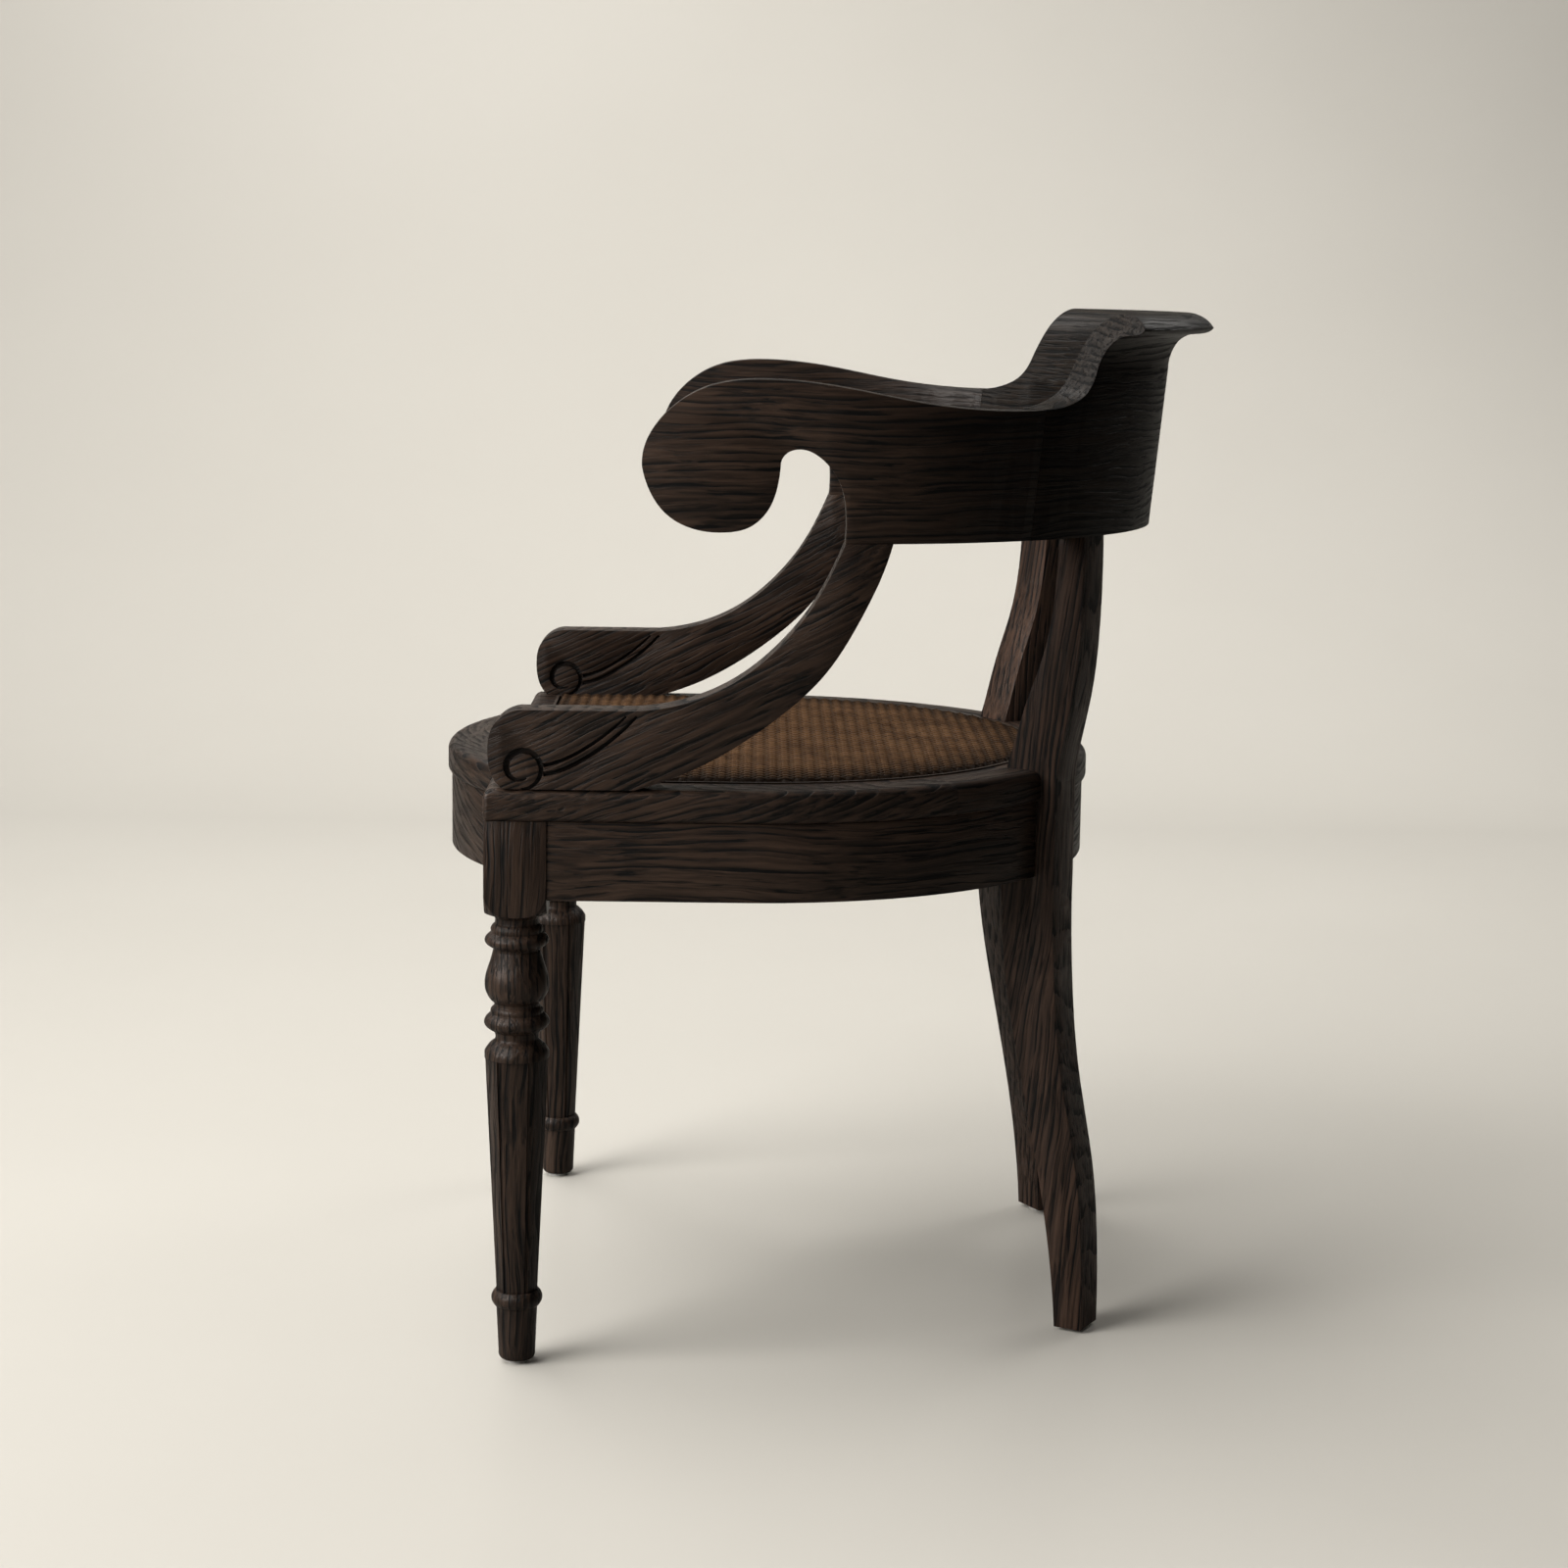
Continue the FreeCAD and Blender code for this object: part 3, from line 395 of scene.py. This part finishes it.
def way_of_the_grain(wood, along, heart, bend):
    """Coordinates whose X runs along the fibres from a point of the heart line, straight and then swayed."""
    turn = Vector(along).rotation_difference(Vector((1, 0, 0)))
    shift = turn @ Vector(heart) * -1.0
    where = round_the_bend(wood, *bend) if bend else wood.place()
    grain = wood.node("ShaderNodeMapping", {"vector_type": "POINT"},
                      {"Vector": where, "Rotation": turn.to_euler(), "Location": shift})
    sway = pushed(wood, grain, (5.0, 9.0, 9.0), SWAY)
    ripple = pushed(wood, grain, (22.0, 80.0, 80.0), RIPPLE)
    return grain, wood.vector("ADD", wood.vector("ADD", grain, sway), ripple)


def early_wood(wood, swayed):
    """The open-pored start of each ring: 1 at its first edge, falling off to 0."""
    across = wood.vector("MULTIPLY", swayed, (0.0, 1.0, 1.0))
    radius = wood.vector("LENGTH", across, (0, 0, 0), "Value")
    rings = (radius / RING).math("FRACT")
    return (1.0 - rings).math("POWER", 2.1) + rings.step(0.94, 1.0)


print("one growth ring is", RING * 1000, "mm wide")

# %% [markdown]
# ## Ebonised oak
# The wood is oak, stained black and waxed. The stain lies darkest in the open pores of the early wood, which break up
# into dashes, and between them the fibres are a little browner. Long streaks and fine pores cross the rings. The same
# dark marks are sunk by a bump, and they shine less than the waxed fibres. On the arms, painted shade darkens the
# colour towards the back, where the light falls off.

# %% The oak finish
FIBRE_LIGHT = (0.076, 0.0470, 0.0330)
FIBRE_DARK = (0.0110, 0.0074, 0.0057)
PORE = (0.0016, 0.0012, 0.0010)
PLAIN = (1.0, 1.0, 1.0)
# painted shade: how far the back of the arms is darkened towards the pore colour
BACK_SHADE = 0.62


def tint(colour, shade):
    """A colour multiplied by a shade."""
    return tuple(value * amount for value, amount in zip(colour, shade)) + (1,)


def oak(name, along, heart, bend=None, shade=PLAIN, gloss=0.22, back_shade=None):
    """Black open-grained oak whose fibres run along a direction and whose heart line passes through a point.

    With back_shade, painted shade darkens a piece along Y: not at all in front of the second of two places, fully
    behind the first.
    """
    wood = Finish(name)
    grain, swayed = way_of_the_grain(wood, along, heart, bend)
    early = early_wood(wood, swayed)
    dashes = wood.noise(swayed, (11.0, 150.0, 150.0), 3.0).step(0.43, 0.56)
    streak = wood.noise(swayed, (13.0, 400.0, 400.0), 4.0).step(0.53, 0.64)
    pores = wood.noise(swayed, (70.0, 1500.0, 1500.0), 2.0).step(0.54, 0.70)
    dark = (early * (dashes * 1.0 + 0.16) + streak * (early * 0.3 + 0.50) + pores * 0.18).clipped()
    fibre = wood.noise(swayed, (12.0, 340.0, 340.0), 4.0).step(0.30, 0.70)
    tone = wood.noise(grain, (4.0, 24.0, 24.0), 2.0).step(0.30, 0.70)
    ground = wood.blend(fibre * 0.60 + tone * 0.40, tint(FIBRE_DARK, shade), tint(FIBRE_LIGHT, shade))
    if back_shade:
        _, y, _ = wood.axes(wood.place())
        # painted shade: the colour darkens towards the back of the piece, where the light falls off
        ground = wood.blend(y.step(back_shade[1], back_shade[0]) * BACK_SHADE, ground, tint(PORE, shade))
    colour = wood.blend(dark, ground, tint(PORE, shade))
    relief = wood.bump(1.0 - dark + fibre * 0.25, 0.0006, 0.6)
    return wood.surface({"Base Color": colour, "Roughness": dark * 0.24 + 0.37 - fibre * 0.05,
                         "Specular IOR Level": gloss, "Normal": relief})


print("oak runs from", FIBRE_LIGHT, "in the fibres to", PORE, "in the pores")

# %% [markdown]
# ## Softened copies of the wooden pieces
# A joiner's arrises are never knife-sharp: sandpaper and two centuries of polish ease them, and the eased edge is
# what catches the light. Each wooden node is copied, its loose triangles are joined, its flat faces are made whole,
# and a bevel of a millimetre rounds every sharp edge. The copy stands for the node.

# %% Softening a piece
EASED = 0.0011
FLAT = radians(0.6)
ARRIS = radians(38)
SMOOTH = radians(32)


def softened(node, finish):
    """A copy of a node's mesh with joined faces and eased arrises, in a finish."""
    source = parts[node]
    piece = source.copy()
    piece.data = source.data.copy()
    piece.name = node + "_wood"
    piece.parent = None
    bpy.context.scene.collection.objects.link(piece)
    start_edit(piece, "VERT")
    bpy.ops.mesh.select_all(action="SELECT")
    bpy.ops.mesh.remove_doubles(threshold=0.00001)
    bpy.ops.mesh.dissolve_limited(angle_limit=FLAT, delimit=set())
    end_edit()
    edge = piece.modifiers.new("eased", "BEVEL")
    edge.width = EASED
    edge.segments = 2
    edge.limit_method = "ANGLE"
    edge.angle_limit = ARRIS
    edge.use_clamp_overlap = True
    only(piece)
    bpy.ops.object.modifier_apply(modifier=edge.name)
    bpy.ops.object.shade_smooth_by_angle(angle=SMOOTH)
    piece.data.materials.clear()
    piece.data.materials.append(finish)
    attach(piece, "root")
    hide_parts(node)
    return piece


print("arrises are eased by", EASED * 1000, "mm")

# %% [markdown]
# ## One plank for each piece
# Every piece was sawn from its own plank, so each gets its own heart line. The legs' fibres run up, the supports'
# slant with their sweep, and those of the horseshoe, the rim and the aprons follow the bend. The rear legs are a
# little browner, and the crest rail is the blackest and dullest piece.

# %% Planks
UP = (0.0, 0.02, 1.0)
SLANTED = (0.0, 0.90, 0.44)

# Each bend: its middle along Y and its radius
HORSESHOE = (-0.015, 0.269)
SEAT_FRAME = (-0.064, 0.272)
BOW_FRONT = (-0.0264, -0.262)

BROWNER = (1.30, 1.22, 1.20)
BLACKER = (0.36, 0.40, 0.40)
# painted shade on the arms: none in front of y = -0.03, full behind y = 0.15
ARM_BACK_SHADE = (0.150, -0.030)

PLANKS = {
    "front_leg_left": dict(along=UP, heart=(0.250, -0.420, 0.0)),
    "front_leg_right": dict(along=UP, heart=(-0.240, -0.120, 0.0)),
    "rear_leg_left": dict(along=(0.04, 0.10, 1.0), heart=(0.235, 0.330, 0.3), shade=BROWNER),
    "rear_leg_right": dict(along=(0.03, 0.06, 1.0), heart=(-0.120, 0.280, 0.3), shade=BROWNER),
    "apron_left": dict(along=(1.0, 0.05, -0.02), heart=(0.0, 0.215, 0.270), bend=SEAT_FRAME),
    "apron_right": dict(along=(1.0, 0.05, 0.01), heart=(0.0, 0.215, 0.280), bend=SEAT_FRAME),
    "apron_front": dict(along=(1.0, 0.07, 0.30), heart=(0.0, 0.190, 0.270), bend=BOW_FRONT),
    "apron_rear": dict(along=(1.0, 0.0, 0.02), heart=(0.0, 0.225, 0.290), bend=SEAT_FRAME),
    "seat_rim_front": dict(along=(1.0, 0.10, 0.16), heart=(0.0, 0.190, 0.360), bend=BOW_FRONT),
    "seat_rim_left": dict(along=(1.0, 0.10, 0.27), heart=(0.0, 0.230, 0.330), bend=SEAT_FRAME),
    "seat_rim_right": dict(along=(1.0, 0.05, -0.12), heart=(0.0, 0.230, 0.330), bend=SEAT_FRAME),
    "seat_rim_rear": dict(along=(1.0, 0.0, 0.03), heart=(0.0, 0.240, 0.350), bend=SEAT_FRAME),
    "arm_support_left": dict(along=SLANTED, heart=(0.240, 0.040, 0.330)),
    "arm_support_right": dict(along=SLANTED, heart=(-0.240, 0.020, 0.350)),
    "arm_left": dict(along=(1.0, 0.04, 0.02), heart=(0.0, 0.240, 0.480), bend=HORSESHOE, gloss=0.20, back_shade=ARM_BACK_SHADE),
    "arm_right": dict(along=(1.0, 0.02, 0.02), heart=(0.0, 0.240, 0.470), bend=HORSESHOE, gloss=0.20, back_shade=ARM_BACK_SHADE),
    "crest_rail": dict(along=(1.0, 0.03, 0.0), heart=(0.0, 0.235, 0.500), bend=HORSESHOE, shade=BLACKER, gloss=0.12),
}

for node, plank in PLANKS.items():
    made = softened(node, oak("oak_" + node, **plank))
    print(made.name, len(made.data.polygons), "faces")

# %% [markdown]
# ## Black in the carving
# A volute and two channels are carved into both sides of each support. Wax and dust gather there, and the walls and
# floors of the carving get a darker copy of the same oak, partly for that wax and dust and partly as painted shade of
# the recess. They are found by their place: they lie between the side of the support and the depth of the carving,
# and none of them reaches higher than the carving does.

# %% Carved channels
OUTER_X = 0.2850
INNER_X = 0.2530
CARVED = 0.0029
LEAST_SUNK = 0.0009
CARVED_WALL = CARVED + 0.0002
CARVING_TOP = 0.56
# darker oak for the carving: wax and dust, and painted shade of the recess
WAX_AND_SHADE = (0.22, 0.22, 0.22)


def is_carved(piece, polygon):
    """Whether a face of a support belongs to its carving."""
    reach = [abs(piece.data.vertices[i].co.x) for i in polygon.vertices]
    x = abs(polygon.center.x)
    sunk = LEAST_SUNK < min(OUTER_X - x, x - INNER_X) < CARVED
    return sunk and max(reach) - min(reach) < CARVED_WALL and polygon.center.z < CARVING_TOP


for node in ("arm_support_left", "arm_support_right"):
    piece = bpy.data.objects[node + "_wood"]
    piece.data.materials.append(oak("wax_and_shade_" + node, **PLANKS[node], shade=WAX_AND_SHADE))
    carved = [polygon for polygon in piece.data.polygons if is_carved(piece, polygon)]
    for polygon in carved:
        # the carved faces get the darker oak: wax and dust, and painted shade
        polygon.material_index = 1
    print(node, len(carved), "carved faces")

# %% [markdown]
# ## The plain small parts
# Dowels, screws, glides and the reed round the cane are small and mostly hidden, so they keep the frame's own meshes
# and only get a finish: pale or dark wood with fine fibres, scuffed steel, and a pale plastic that is dirty in
# patches. The corner blocks are larger and have edges to ease, so they are softened like the oak.

# %% Finishes of the small parts
BEECH_LIGHT = (0.46, 0.33, 0.21, 1)
BEECH_DARK = (0.30, 0.20, 0.12, 1)
REED_LIGHT = (0.060, 0.040, 0.026, 1)
REED_DARK = (0.020, 0.013, 0.009, 1)


def plain_wood(name, light, dark):
    """Fine-fibred wood whose fibres run up."""
    wood = Finish(name)
    fibre = wood.noise(wood.place(), (600.0, 600.0, 40.0), 3.0)
    colour = wood.blend(fibre, light, dark)
    return wood.surface({"Base Color": colour, "Roughness": fibre * 0.2 + 0.45,
                         "Normal": wood.bump(fibre, 0.0003, 0.4)})


def screw_metal():
    """Steel with fine scuffs."""
    metal = Finish("screw_steel")
    scuffs = metal.noise(metal.place(), (500.0, 500.0, 500.0), 2.0)
    colour = metal.blend(scuffs, (0.42, 0.42, 0.43, 1), (0.62, 0.61, 0.60, 1))
    return metal.surface({"Base Color": colour, "Metallic": 1.0, "Roughness": scuffs * 0.25 + 0.25})


def glide_plastic():
    """Pale plastic, dirty in patches."""
    plastic = Finish("pale_glide")
    scuffs = plastic.noise(plastic.place(), (260.0, 260.0, 260.0), 3.0)
    colour = plastic.blend(scuffs.step(0.4, 0.75), (0.74, 0.73, 0.70, 1), (0.55, 0.53, 0.50, 1))
    return plastic.surface({"Base Color": colour, "Roughness": scuffs * 0.25 + 0.45})


print("finishes of the small parts are ready")

# %% Finish the small parts
beech = plain_wood("beech_dowels", BEECH_LIGHT, BEECH_DARK)
steel = screw_metal()
SMALL = {
    "rim_dowels": beech,
    "support_dowels": beech,
    "arm_joint_dowels": beech,
    "cane_spline": plain_wood("dark_reed", REED_LIGHT, REED_DARK),
    "corner_block_screws": steel,
    "rim_screws": steel,
    "foot_glides": glide_plastic(),
}
for node, finish in SMALL.items():
    parts[node].data.materials.clear()
    parts[node].data.materials.append(finish)
print(len(SMALL), "small parts are finished")

for corner in ("front_left", "front_right", "rear_left", "rear_right"):
    node = "corner_block_" + corner
    made = softened(node, plain_wood("beech_" + node, BEECH_LIGHT, BEECH_DARK))
    print(made.name, len(made.data.polygons), "faces")

# %% [markdown]
# ## One repeat of a strand
# The seat is a close basket weave of split cane. Ribs run from side to side, one centimetre apart, and finer strands
# cross them, each over one rib and under the next. A strand of split cane is flat below and rounded above: it starts
# as a flat box without ends, cut into steps along its length, and its two upper edges are bevelled. The steps are
# then raised and lowered as one cosine wave, so that repeats meet end to end.

# %% Shaping a strand
TOUCHING = 2e-5


def is_upper_edge(ends):
    """Whether an edge of a strand lies on its upper side and runs along it."""
    return all(end.z > 0 for end in ends) and abs(ends[0].y - ends[1].y) < 1e-6


def strand(name, length, width, thickness, cuts):
    """A flat strand along X with rounded upper edges, open at its ends so that repeats weld together."""
    bpy.ops.mesh.primitive_cube_add(size=1, location=(0, 0, 0))
    piece = bpy.context.object
    piece.name = name
    piece.scale = (length, width, thickness)
    apply_place(piece)
    start_edit(piece, "FACE")
    select_where(piece, "polygons", lambda f: abs(f.normal.x) > 0.9)
    bpy.ops.mesh.delete(type="ONLY_FACE")
    for cut in range(1, cuts):
        bpy.ops.mesh.select_all(action="SELECT")
        bpy.ops.mesh.bisect(plane_co=(length * (cut / cuts - 0.5), 0, 0), plane_no=(1, 0, 0))
    bpy.ops.mesh.select_mode(type="EDGE")
    select_where(piece, "edges", lambda e: is_upper_edge([piece.data.vertices[i].co for i in e.vertices]))
    bpy.ops.mesh.bevel(offset=min(thickness * 0.75, width * 0.3), segments=1, affect="EDGES")
    end_edit()
    return piece


def wave(piece, period, rise):
    """Lift a strand's middle and lower its ends by one cosine wave."""
    start_edit(piece, "VERT")
    steps = sorted({round(v.co.x, 5) for v in piece.data.vertices})
    for place in steps:
        select_where(piece, "vertices", lambda v: abs(v.co.x - place) < TOUCHING)
        bpy.ops.transform.translate(value=(0, 0, rise * cos(2 * pi * place / period)))
    end_edit()


print("strands can be shaped and waved")

# %% [markdown]
# ## Rows and layers
# What repeats is modelled once. An array multiplies a strand's repeat to its full length and then the strand to a
# whole layer, and welds the open ends where repeats meet. Neighbouring strands go over and under in turn, so the
# thing that is multiplied sideways is a pair: a strand and its copy, half a wave further on.

# %% Multiplying strands
def repeated(piece, step, count):
    """Multiply a piece along one direction, weld the repeats and centre the row."""
    more = piece.modifiers.new("repeat", "ARRAY")
    more.use_relative_offset = False
    more.use_constant_offset = True
    more.constant_offset_displace = step
    more.count = count
    more.use_merge_vertices = True
    more.merge_threshold = TOUCHING
    only(piece)
    bpy.ops.object.modifier_apply(modifier=more.name)
    bpy.ops.transform.translate(value=Vector(step) * (-0.5 * (count - 1)))
    apply_place(piece)


def paired(piece, move):
    """A piece and its copy, moved aside, as one object."""
    only(piece)
    bpy.ops.object.duplicate()
    bpy.ops.transform.translate(value=move)
    piece.select_set(True)
    bpy.context.view_layer.objects.active = piece
    bpy.ops.object.join()
    piece = bpy.context.object
    apply_place(piece)
    return piece


print("strands can be multiplied")

# %% [markdown]
# ## The edge of the cane
# The cane is pressed into a groove round the seat. `inside` measures how far a point lies within the groove's outer
# wall: a half circle behind, two straight sides, and a bow in front between two square corners. What falls outside is
# cut away, the cut ends are closed, and near the edge the strands are bent down into the groove. The middle is
# crowned by a millimetre and a half, as tight cane is.

# %% Fitting a layer to the groove
GROOVE_HALF = 0.2460
SEAT_Y = -0.0640
EAR_Y = -0.2415
BOW_R = 0.2500
BOW_Y = -0.0264
CANE_EDGE = 0.0029
BEND_FROM = 0.0085
BEND_WIDTH = 0.0055
BEND_DEPTH = 0.0052
CROWN = 0.0016
CROWN_FROM_EDGE = 0.06
WEAVE_Z = 0.4636


def inside(place):
    """How far a point lies inside the outer wall of the groove."""
    x, y = abs(place.x), place.y
    if y > SEAT_Y:
        return GROOVE_HALF - sqrt(x * x + (y - SEAT_Y) ** 2)
    bow = BOW_R - sqrt(x * x + (y - BOW_Y) ** 2)
    return min(GROOVE_HALF - x, max(y - EAR_Y, bow))


def fitted(piece):
    """Cut a woven layer to the groove, close its cut ends and bend its edge down."""
    start_edit(piece, "FACE")
    select_where(piece, "polygons", lambda f: inside(f.center) < CANE_EDGE)
    bpy.ops.mesh.delete(type="FACE")
    bpy.ops.mesh.select_all(action="SELECT")
    bpy.ops.mesh.fill_holes(sides=0)
    end_edit()
    for vertex in piece.data.vertices:
        depth = inside(vertex.co)
        bend = min(max((BEND_FROM - depth) / BEND_WIDTH, 0.0), 1.0)
        crown = CROWN * min(max(depth / CROWN_FROM_EDGE, 0.0), 1.0)
        vertex.co.z += WEAVE_Z + crown - BEND_DEPTH * bend ** 2


print("the cane is", 2 * GROOVE_HALF, "m wide in its groove")

# %% [markdown]
# ## Weaving
# The fine strands are laid along X first, like the ribs, and their whole layer is then turned a quarter. The turn is
# given a centre, because without a window the turning tool would pick its own.

# %% Fine strands and ribs
RIB_PITCH = 0.0100
WEFT_PITCH = 0.0050
WEFT_WAVE = 4 * WEFT_PITCH

weft = strand("cane_wefts", WEFT_WAVE, 0.0046, 0.0011, 4)
wave(weft, WEFT_WAVE, 0.00125)
repeated(weft, (WEFT_WAVE, 0, 0), 25)
weft = paired(weft, (WEFT_WAVE / 2, WEFT_PITCH, 0))
repeated(weft, (0, 2 * WEFT_PITCH, 0), 51)
only(weft)
bpy.ops.transform.rotate(value=radians(90), orient_axis="Z", center_override=(0, 0, 0))
apply_place(weft)

rib = strand("cane_ribs", RIB_PITCH, 0.0062, 0.0015, 4)
wave(rib, RIB_PITCH, 0.00045)
repeated(rib, (RIB_PITCH, 0, 0), 51)
rib = paired(rib, (RIB_PITCH / 2, RIB_PITCH, 0))
repeated(rib, (0, 2 * RIB_PITCH, 0), 26)

for layer in (weft, rib):
    only(layer)
    bpy.ops.transform.translate(value=(0, SEAT_Y, 0))
    apply_place(layer)
    print(layer.name, len(layer.data.polygons), "faces before it is cut")

# %% [markdown]
# ## The colour of old cane
# Cane darkens to a warm brown. It is streaked along the strand and patchy over the seat, and the hollows of the weave
# get painted shade. The hollows are low, so the height of a point tells how much painted shade it gets.

# %% The cane finish
CANE_DARK = (0.054, 0.0265, 0.0122, 1)
CANE_LIGHT = (0.146, 0.0780, 0.0380, 1)
# painted shade for the hollows of the weave
CANE_HOLLOW_SHADE = (0.012, 0.007, 0.0042, 1)
HOLLOW_Z = 0.4641
RAISED_Z = 0.4669


def cane_finish(name, stretch):
    """Aged split cane: streaked along the strand, with painted shade in the hollows of the weave."""
    cane = Finish(name)
    where = cane.place()
    streak = cane.noise(where, stretch, 3.0).step(0.38, 0.62)
    patch = cane.noise(where, (26.0, 26.0, 26.0), 3.0).step(0.35, 0.65)
    hollow = 1.0 - cane.axes(where)[2].step(HOLLOW_Z, RAISED_Z)
    colour = cane.blend(streak * 0.6 + patch * 0.4, CANE_DARK, CANE_LIGHT)
    # painted shade: the low hollows of the weave are darkened
    colour = cane.blend(hollow * 0.92, colour, CANE_HOLLOW_SHADE)
    return cane.surface({"Base Color": colour, "Roughness": streak * 0.15 + 0.48, "Specular IOR Level": 0.05,
                         "Normal": cane.bump(streak, 0.0002, 0.4)})


for piece, stretch in ((weft, (420.0, 60.0, 420.0)), (rib, (60.0, 420.0, 420.0))):
    fitted(piece)
    only(piece)
    bpy.ops.object.shade_smooth_by_angle(angle=radians(50))
    piece.data.materials.append(cane_finish(piece.name + "_cane", stretch))
    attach(piece, "root")
    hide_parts("cane_panel")
    print(piece.name, len(piece.data.polygons), "faces")
